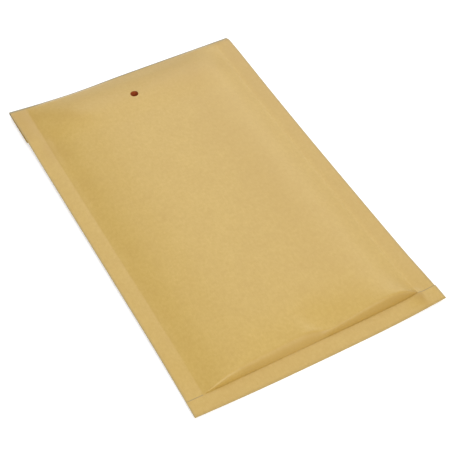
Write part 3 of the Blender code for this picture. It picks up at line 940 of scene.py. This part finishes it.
def new_material(name):
    """A material with an empty Principled shader, and the calls to build it."""
    material = bpy.data.materials.new(name)
    material.use_nodes = True
    return material, Tree(material.node_tree), material.node_tree.nodes["Principled BSDF"]


def kraft_material(colours):
    """Brown kraft paper: long fibres, mottling, soft clouds and a faint sheen, with painted shade from the
    points' marks.
    """
    material, tree, shader = new_material("kraft_paper")
    fibres = tree.noise(tree.place((1.0, 0.16, 1.0)), *FIBRES)
    strays = tree.noise(tree.place((0.25, 1.0, 1.0), (0.0, 0.0, 0.5)), *STRAYS)
    mottle = tree.noise(tree.place(), *MOTTLE)
    clouds = tree.noise(tree.place(), *CLOUDS)

    pale = tree.math("MULTIPLY", tree.ranged(mottle, 0.35, 0.72), 0.44)
    deep = tree.math("MULTIPLY", tree.ranged(fibres, 0.62, 0.30), 0.26)
    stray = tree.math("MULTIPLY", tree.ranged(strays, 0.66, 0.78), 0.35)
    cloud = tree.ranged(clouds, 0.25, 0.75, 0.0, 0.26)
    base = tree.mixed(pale, colour(colours.kraft), colour(colours.kraft_pale))
    base = tree.mixed(deep, base, colour(colours.kraft_deep))
    base = tree.mixed(stray, base, colour(colours.kraft_pale))
    base = tree.mixed(cloud, base, colour(colours.kraft_deep))
    # Painted shade from the points' marks darkens the colour towards Deep Kraft, and along the outline
    # towards the rim shade colour
    painted_shade = tree.node("ShaderNodeAttribute", attribute_name="deep").outputs["Fac"]
    base = tree.mixed(painted_shade, base, colour(colours.kraft_deep))
    rim_shade_share = tree.node("ShaderNodeAttribute", attribute_name="rim_shade").outputs["Fac"]
    base = tree.mixed(rim_shade_share, base, colour(colours.kraft_rim_shade))

    grain = tree.math("ADD", tree.math("MULTIPLY", fibres, 0.6), tree.math("MULTIPLY", mottle, 0.8))
    relief = tree.node("ShaderNodeBump", {"Strength": 0.35, "Distance": 0.00006, "Height": grain})
    tree.fill(shader, {"Base Color": base, "Roughness": tree.ranged(fibres, 0.2, 0.8, 0.44, 0.34),
                       "Specular IOR Level": 0.5, "Normal": relief.outputs[0]})
    return material


def edge_material(colours):
    """Cut edges of the paper, where the fibres stand open."""
    material, tree, shader = new_material("kraft_cut_edge")
    fray = tree.noise(tree.place(), *CUT_FRAY)
    base = tree.mixed(tree.ranged(fray, 0.3, 0.7), colour(colours.cut_edge), colour(colours.kraft_deep))
    tree.fill(shader, {"Base Color": base, "Roughness": 0.95, "Specular IOR Level": 0.2})
    return material


def hole_shade_material(colours):
    """Wall of the punched hole: fibres and crushed film, with the red-brown of kraft in deep shade painted
    into its colour.
    """
    material, tree, shader = new_material("punched_wall_shade")
    fray = tree.noise(tree.place((0.3, 0.3, 1.0)), *HOLE_FRAY)
    wall = colours.hole_shade_colour
    # The wall's colour and its darker half are painted shade
    base = tree.mixed(tree.ranged(fray, 0.3, 0.7), colour(wall), colour(part * 0.5 for part in wall))
    tree.fill(shader, {"Base Color": base, "Roughness": 0.9, "Specular IOR Level": 0.15})
    return material


def film_material(colours):
    """Clear polyethylene bubble film, a little hazy."""
    material, tree, shader = new_material("bubble_film")
    haze = tree.noise(tree.place(), *HAZE)
    base = tree.mixed(haze, colour(colours.film), colour(part * 0.86 for part in colours.film))
    tree.fill(shader, {"Base Color": base, "Roughness": tree.ranged(haze, 0.2, 0.8, 0.12, 0.3),
                       "Transmission Weight": 0.6, "IOR": 1.5})
    return material


def adhesive_material():
    """A clear, slightly yellow bead of adhesive."""
    material, tree, shader = new_material("adhesive_glue")
    uneven = tree.noise(tree.place((0.05, 1.0, 1.0)), *STREAKS)
    base = tree.mixed(uneven, (0.80, 0.70, 0.42, 1.0), (0.90, 0.83, 0.60, 1.0))
    tree.fill(shader, {"Base Color": base, "Roughness": tree.ranged(uneven, 0.2, 0.8, 0.2, 0.45)})
    return material


def liner_material():
    """White release paper with a silicone shine."""
    material, tree, shader = new_material("release_paper")
    fibres = tree.noise(tree.place(), *LINER_FIBRES)
    base = tree.mixed(fibres, (0.80, 0.80, 0.78, 1.0), (0.88, 0.88, 0.87, 1.0))
    tree.fill(shader, {"Base Color": base, "Roughness": tree.ranged(fibres, 0.2, 0.8, 0.3, 0.42)})
    return material


def new_group(name, numbers):
    """A geometry node tree with named numbers as inputs: its calls, its input node and their identifiers."""
    group = bpy.data.node_groups.new(name, "GeometryNodeTree")
    sides = group.interface
    sides.new_socket("Geometry", in_out="INPUT", socket_type="NodeSocketGeometry")
    made = [sides.new_socket(label, in_out="INPUT", socket_type="NodeSocketFloat") for label in numbers]
    sides.new_socket("Geometry", in_out="OUTPUT", socket_type="NodeSocketGeometry")
    tree = Tree(group)
    return tree, tree.node("NodeGroupInput"), [socket.identifier for socket in made]


def cockle_tree(material):
    """A node tree that gives the front ply the soft unevenness of handled paper."""
    tree, given, numbers = new_group("paper_cockle", ("Height", "Scale"))
    place = tree.node("GeometryNodeInputPosition").outputs[0]
    flat = tree.node("ShaderNodeVectorMath", {0: place, 1: (1.0, 0.7, 0.0)}, operation="MULTIPLY").outputs[0]
    noise = tree.noise(flat, given.outputs["Scale"], *COCKLE_NOISE)
    lift = tree.math("MULTIPLY", tree.math("SUBTRACT", noise, 0.5), given.outputs["Height"])
    lift = tree.math("MULTIPLY", lift, tree.named("relief"))
    offset = tree.node("ShaderNodeCombineXYZ", {"Z": lift}).outputs[0]
    moved = tree.node("GeometryNodeSetPosition", {"Geometry": given.outputs["Geometry"], "Offset": offset})
    real = tree.node("GeometryNodeRealizeInstances", {"Geometry": moved.outputs[0]})
    chosen = tree.node("GeometryNodeMaterialSelection", {"Material": material}).outputs[0]
    dressed = tree.node("GeometryNodeSetMaterial", {"Geometry": real.outputs[0], "Selection": chosen,
                                                    "Material": material})
    tree.node("NodeGroupOutput", {"Geometry": dressed.outputs[0]})
    return tree.tree, numbers


def bubble_tree(material):
    """A node tree that stands one air bubble on every point, as wide and as high as it says."""
    tree, given, numbers = new_group("air_bubbles", ("Bubble Radius", "Squareness"))
    ball = tree.node("GeometryNodeMeshUVSphere", {"Segments": 14, "Rings": 8, "Radius": 1.0})
    place = tree.node("GeometryNodeInputPosition").outputs[0]
    parts = tree.node("ShaderNodeSeparateXYZ", {0: place})
    above = tree.math("MAXIMUM", parts.outputs[2], 0.0)
    domed = tree.math("POWER", above, given.outputs["Squareness"])
    shaped = tree.node("ShaderNodeCombineXYZ", {0: parts.outputs[0], 1: parts.outputs[1], 2: domed})
    dome = tree.node("GeometryNodeSetPosition", {"Geometry": ball.outputs[0], "Position": shaped.outputs[0]})
    radius = given.outputs["Bubble Radius"]
    size = tree.node("ShaderNodeCombineXYZ", {0: radius, 1: radius, 2: tree.named("rise")}).outputs[0]
    tilt = tree.node("ShaderNodeCombineXYZ", {0: tree.named("turn")}).outputs[0]
    points = tree.node("GeometryNodeMeshToPoints", {"Mesh": given.outputs["Geometry"]})
    copies = tree.node("GeometryNodeInstanceOnPoints", {"Points": points.outputs[0],
                                                        "Instance": dome.outputs[0],
                                                        "Rotation": tilt, "Scale": size})
    real = tree.node("GeometryNodeRealizeInstances", {"Geometry": copies.outputs[0]})
    smooth = tree.node("GeometryNodeSetShadeSmooth", {"Geometry": real.outputs[0]})
    dressed = tree.node("GeometryNodeSetMaterial", {"Geometry": smooth.outputs[0], "Material": material})
    tree.node("NodeGroupOutput", {"Geometry": dressed.outputs[0]})
    return tree.tree, numbers


def grown(piece, group, numbers, values):
    """Run a node tree on a piece with values for its numbers, and keep the plain result."""
    modifier = piece.modifiers.new(group.name, "NODES")
    modifier.node_group = group
    for identifier, value in zip(numbers, values):
        modifier[identifier] = value
    freeze(piece)


class Film:
    """Where the two bubble films lie between the plies."""

    def __init__(self, shape):
        self.shape = shape

    def slack(self, x, y):
        """Distance kept to the paper."""
        return np.minimum(FILM_EASE, self.shape.padding(x, y) * FILM_TIGHT_SHARE)

    def top(self, x, y):
        """Highest place for the lining."""
        return self.shape.front_inside(x, y) - self.slack(x, y) * self.shape.steepness(x, y)

    def under(self, x, y):
        """Lowest place for the lining."""
        return self.shape.back_inside(x, y) + self.slack(x, y)

    def middle(self, x, y):
        """Height halfway through the lining."""
        return (self.top(x, y) + self.under(x, y)) / 2

    def half_core(self, x, y):
        """Half the height of the two flat films with the pocket between them."""
        room = (self.top(x, y) - self.under(x, y)) / 2
        return np.minimum(FILM + FILM_GAP / 2, room * FILM_ROOM_SHARE)

    def core_top(self, x, y):
        """Outer face of the upper flat film."""
        return self.middle(x, y) + self.half_core(x, y)

    def core_under(self, x, y):
        """Outer face of the lower flat film."""
        return self.middle(x, y) - self.half_core(x, y)

    def pocket_top(self, x, y):
        """Inner face of the upper flat film."""
        return self.middle(x, y) + self.half_core(x, y) * FILM_POCKET_SHARE

    def pocket_under(self, x, y):
        """Inner face of the lower flat film."""
        return self.middle(x, y) - self.half_core(x, y) * FILM_POCKET_SHARE


def film_skin(shape):
    """The two flat films, sealed together at the sides and the foot, as one closed mesh."""
    film = Film(shape)
    left, right = shape.left_seam_x + FILM_SIDE_GAP, shape.right_seam_x - FILM_SIDE_GAP
    low, high = shape.pocket_y + FILM_FOOT_GAP, shape.fold_y - FILM_HEAD_GAP
    seal_left, seal_right = left + FILM_SEAL, right - FILM_SEAL
    columns = [left, (left + seal_left) / 2, *np.linspace(seal_left, seal_right, FILM_COLUMNS),
               (right + seal_right) / 2, right]
    rows = graded(low, high, *FILM_STEPS)
    foot = next(index for index, y in enumerate(rows) if y >= low + FILM_SEAL)
    skin = Skin(columns)
    upper = skin.points(rows, film.core_top, shape.drawn, plain_y)
    lower = skin.points(rows, film.core_under, shape.drawn, plain_y)
    skin.faces(upper)
    skin.faces(lower)
    skin.faces([[above[0], below[0]] for above, below in zip(upper, lower)])
    for side in (0, -1):
        skin.faces([upper[side], lower[side]])
    roof = skin.points(rows[foot:], film.pocket_top, shape.drawn, plain_y, columns=columns[2:-2])
    floor = skin.points(rows[foot:], film.pocket_under, shape.drawn, plain_y, columns=columns[2:-2])
    for index, (above, below) in enumerate(zip(roof, floor)):
        sealed = range(len(below)) if index in (0, len(roof) - 1) else range(1)
        for row in sealed:
            above[row].co = (above[row].co + below[row].co) / 2
            skin.mesh.verts.remove(below[row])
            below[row] = above[row]
    skin.faces(roof)
    skin.faces(floor)
    film_mouth(skin, upper, lower, roof, floor)
    return skin


def film_mouth(skin, upper, lower, roof, floor):
    """Edges of both films at the pouch's mouth, with the sealed corners beside it."""
    tops, lows = [points[-1] for points in upper], [points[-1] for points in lower]
    roofs, floors = [points[-1] for points in roof], [points[-1] for points in floor]
    last = len(tops) - 3
    for index in range(len(tops) - 1):
        if 2 <= index < last:
            skin.face((tops[index], tops[index + 1], roofs[index - 1], roofs[index - 2]))
            skin.face((lows[index], lows[index + 1], floors[index - 1], floors[index - 2]))
        elif index == 1:
            skin.face((tops[1], tops[2], roofs[0], lows[2], lows[1]))
        elif index == last:
            skin.face((tops[last], tops[last + 1], lows[last + 1], lows[last], roofs[-1]))
        else:
            skin.face((tops[index], tops[index + 1], lows[index + 1], lows[index]))


def bubble_points(shape, sizes):
    """A point for each air bubble of both films, in a hexagonal pattern."""
    film = Film(shape)
    radius, pitch = sizes.bubble / 2, sizes.bubble_pitch
    left, right = shape.left_seam_x + FILM_SIDE_GAP + radius, shape.right_seam_x - FILM_SIDE_GAP - radius
    low = shape.pocket_y + FILM_FOOT_GAP + BUBBLE_FOOT_ROOM + radius
    high = shape.fold_y - FILM_HEAD_GAP - radius
    places, rises, turns = [], [], []
    row = 0
    y = low
    ring = np.linspace(0, 2 * math.pi, RING_POINTS, endpoint=False)
    while y <= high:
        start = left + (row % 2) * pitch / 2
        for x in np.arange(start, right + PROBE, pitch):
            away = math.hypot(x - shape.hole_centre[0], y - shape.hole_centre[1])
            if away < radius + shape.hole_radius + COLLAR:
                continue
            around_x = np.append(x + radius * np.cos(ring), x)
            around_y = np.append(y + radius * np.sin(ring), y)
            base_top, base_low = at(film.core_top, x, y), at(film.core_under, x, y)
            roof = float(np.min(film.top(around_x, around_y)))
            floor = float(np.max(film.under(around_x, around_y)))
            drawn_x = at(shape.drawn, x, y)
            both = ((base_top, roof - base_top, 0.0), (base_low, base_low - floor, math.pi))
            for base, rise, turn in both:
                if rise > LEAST_BUBBLE:
                    places.append((drawn_x, y, base))
                    rises.append(rise)
                    turns.append(turn)
        y += pitch * math.sqrt(3) / 2
        row += 1
    data = bpy.data.meshes.new("air_bubbles")
    data.from_pydata(places, [], [])
    for name, values in (("rise", rises), ("turn", turns)):
        layer = data.attributes.new(name, "FLOAT", "POINT")
        layer.data.foreach_set("value", values)
    return placed("air_bubbles", data)


def hole_collar(shape, material):
    """Film crushed into a collar round the punched hole, between the two plies, in the hole wall's
    painted-shade colour.
    """
    film = Film(shape)
    skin = Skin([])
    angles = np.linspace(0, 2 * math.pi, HOLE_SIDES, endpoint=False)
    rings = []
    for angle in angles:
        across, along = math.cos(angle), math.sin(angle)
        column = []
        for radius, rule in ((0.0, film.under), (COLLAR, film.under), (COLLAR, film.top), (0.0, film.top)):
            reach = shape.hole_radius + radius
            x = shape.hole_centre[0] + reach * across
            y = shape.hole_centre[1] + reach * along
            column.append(skin.point((x, y, at(rule, x, y))))
        rings.append([*column, column[0]])
    skin.faces([*rings, rings[0]])
    return skin.finish("hole_collar", [material])


class ENVELOPE_OT_cover(bpy.types.Operator):
    """Make the kraft paper cover with its flap, lip, seams and clip hole."""

    bl_idname = "envelope.cover"
    bl_label = "Make Kraft Cover"

    def execute(self, context):
        sizes, colours = context.scene.envelope_sizes, context.scene.envelope_colours
        shape = Shape(sizes)
        kraft = kraft_material(colours)
        cover = cover_skin(shape).finish("kraft_cover_paper", [kraft, edge_material(colours)])
        grown(cover, *cockle_tree(kraft), (sizes.cockle, COCKLE_SCALE))
        punched(cover, shape, hole_shade_material(colours))
        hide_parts("kraft_cover")
        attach(cover, "root")
        return {"FINISHED"}


class ENVELOPE_OT_lining(bpy.types.Operator):
    """Make the bubble film pouch with its air bubbles."""

    bl_idname = "envelope.lining"
    bl_label = "Make Bubble Lining"

    def execute(self, context):
        sizes, colours = context.scene.envelope_sizes, context.scene.envelope_colours
        shape = Shape(sizes)
        film, wall = film_material(colours), hole_shade_material(colours)
        pouch = film_skin(shape).finish("bubble_film_pouch", [film])
        punched(pouch, shape, wall)
        bubbles = bubble_points(shape, sizes)
        grown(bubbles, *bubble_tree(film), (sizes.bubble / 2, BUBBLE_SQUARE))
        collar = hole_collar(shape, wall)
        for piece in (pouch, bubbles, collar):
            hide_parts("bubble_lining")
            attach(piece, "root")
        return {"FINISHED"}


class ENVELOPE_OT_strips(bpy.types.Operator):
    """Finish the adhesive strip and its release liner."""

    bl_idname = "envelope.strips"
    bl_label = "Finish Adhesive Strip"

    def execute(self, context):
        for name, material in (("adhesive_strip", adhesive_material()), ("release_liner", liner_material())):
            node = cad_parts[name]
            for index in range(len(node.material_slots)):
                node.material_slots[index].material = material
        return {"FINISHED"}


def direction(azimuth, elevation):
    """A unit vector from the object towards a place seen at two angles, as a camera would stand."""
    turn, rise = math.radians(azimuth), math.radians(elevation)
    return Vector((math.sin(turn) * math.cos(rise), -math.cos(turn) * math.cos(rise), math.sin(rise)))


def lamp(name, azimuth, elevation, distance, size, power):
    """A soft square white lamp that looks at the envelope."""
    data = bpy.data.lights.new(name, "AREA")
    data.shape = "SQUARE"
    data.size = size
    data.energy = power
    back = direction(azimuth, elevation)
    made = placed(name, data)
    made.location = back * distance
    made.rotation_euler = back.to_track_quat("Z", "Y").to_euler()


def seen_directly(tree):
    """1 for what the camera, gloss and glass see, and 0 for what only lights the object."""
    path = tree.node("ShaderNodeLightPath")
    seen = tree.math("MAXIMUM", path.outputs["Is Camera Ray"], path.outputs["Is Glossy Ray"])
    return tree.math("MAXIMUM", seen, path.outputs["Is Transmission Ray"])


def white_when_seen(tree, lit, strength):
    """A shader that adds white light only to what the camera, gloss and glass see."""
    glow = tree.math("MULTIPLY", seen_directly(tree), strength)
    white = tree.node("ShaderNodeEmission", {"Color": WHITE, "Strength": glow})
    return tree.node("ShaderNodeAddShader", {0: lit, 1: white.outputs[0]}).outputs[0]


class ENVELOPE_OT_stage(bpy.types.Operator):
    """Make the white floor, the soft lamps, the world and the camera."""

    bl_idname = "envelope.stage"
    bl_label = "Make Stage"

    def execute(self, context):
        scene = context.scene
        self.make_floor(scene.envelope_colours)
        self.make_world(scene)
        lamp("back_lamp", *BACK_LAMP)
        lamp("front_lamp", *FRONT_LAMP)
        self.make_camera(scene)
        scene.view_settings.view_transform = "Standard"
        return {"FINISHED"}

    def make_floor(self, colours):
        """A wide white floor that keeps a soft shadow."""
        mesh = bmesh.new()
        bmesh.ops.create_grid(mesh, x_segments=1, y_segments=1, size=FLOOR_SIZE / 2)
        data = bpy.data.meshes.new("floor")
        mesh.to_mesh(data)
        mesh.free()
        floor = placed("floor", data)
        material, tree, shader = new_material("white_floor")
        tree.fill(shader, {"Base Color": colour(colours.floor), "Roughness": 0.9, "Specular IOR Level": 0.1})
        lit = white_when_seen(tree, shader.outputs[0], FLOOR_GLOW)
        tree.fill(tree.tree.nodes["Material Output"], {"Surface": lit})
        data.materials.append(material)

    def make_world(self, scene):
        """Even light from all round, white where the camera sees it."""
        world = bpy.data.worlds.new("studio")
        world.use_nodes = True
        scene.world = world
        tree = Tree(world.node_tree)
        light = world.node_tree.nodes["Background"]
        tree.fill(light, {"Color": WHITE, "Strength": WORLD_STRENGTH})
        white = tree.node("ShaderNodeBackground", {"Color": WHITE, "Strength": 1.0})
        both = tree.node("ShaderNodeMixShader", {0: seen_directly(tree), 1: light.outputs[0],
                                                 2: white.outputs[0]})
        tree.fill(world.node_tree.nodes["World Output"], {"Surface": both.outputs[0]})

    def make_camera(self, scene):
        """The photograph's camera."""
        data = bpy.data.cameras.new("camera")
        data.lens = CAMERA_LENS
        data.sensor_width = CAMERA_SENSOR
        data.clip_start, data.clip_end = CAMERA_CLIP
        camera = placed("camera", data)
        back = direction(CAMERA_AZIMUTH, CAMERA_ELEVATION)
        camera.location = Vector(CAMERA_TARGET) + back * CAMERA_DISTANCE
        camera.rotation_euler = back.to_track_quat("Z", "Y").to_euler()
        scene.camera = camera


class ENVELOPE_PT_panel(bpy.types.Panel):
    """Sizes, colours and steps of the envelope."""

    bl_label = "Padded Envelope"
    bl_idname = "ENVELOPE_PT_panel"
    bl_space_type = "VIEW_3D"
    bl_region_type = "UI"
    bl_category = "Envelope"

    def draw(self, context):
        layout = self.layout
        for group in (context.scene.envelope_sizes, context.scene.envelope_colours):
            box = layout.box()
            for name in group.bl_rna.properties.keys():
                if name not in ("rna_type", "name"):
                    box.prop(group, name)
        for operator in STEPS:
            layout.operator(operator.bl_idname)


STEPS = (ENVELOPE_OT_cover, ENVELOPE_OT_lining, ENVELOPE_OT_strips, ENVELOPE_OT_stage)
CLASSES = (EnvelopeSizes, EnvelopeColours, *STEPS, ENVELOPE_PT_panel)


def register():
    """Add the classes and their settings to Blender."""
    for kind in CLASSES:
        bpy.utils.register_class(kind)
    bpy.types.Scene.envelope_sizes = bpy.props.PointerProperty(type=EnvelopeSizes)
    bpy.types.Scene.envelope_colours = bpy.props.PointerProperty(type=EnvelopeColours)


def unregister():
    """Take the classes and their settings out of Blender."""
    del bpy.types.Scene.envelope_colours
    del bpy.types.Scene.envelope_sizes
    for kind in reversed(CLASSES):
        bpy.utils.unregister_class(kind)


def main():
    """Make the envelope and its stage."""
    register()
    bpy.ops.envelope.cover()
    bpy.ops.envelope.lining()
    bpy.ops.envelope.strips()
    bpy.ops.envelope.stage()


if __name__ == "__main__":
    main()
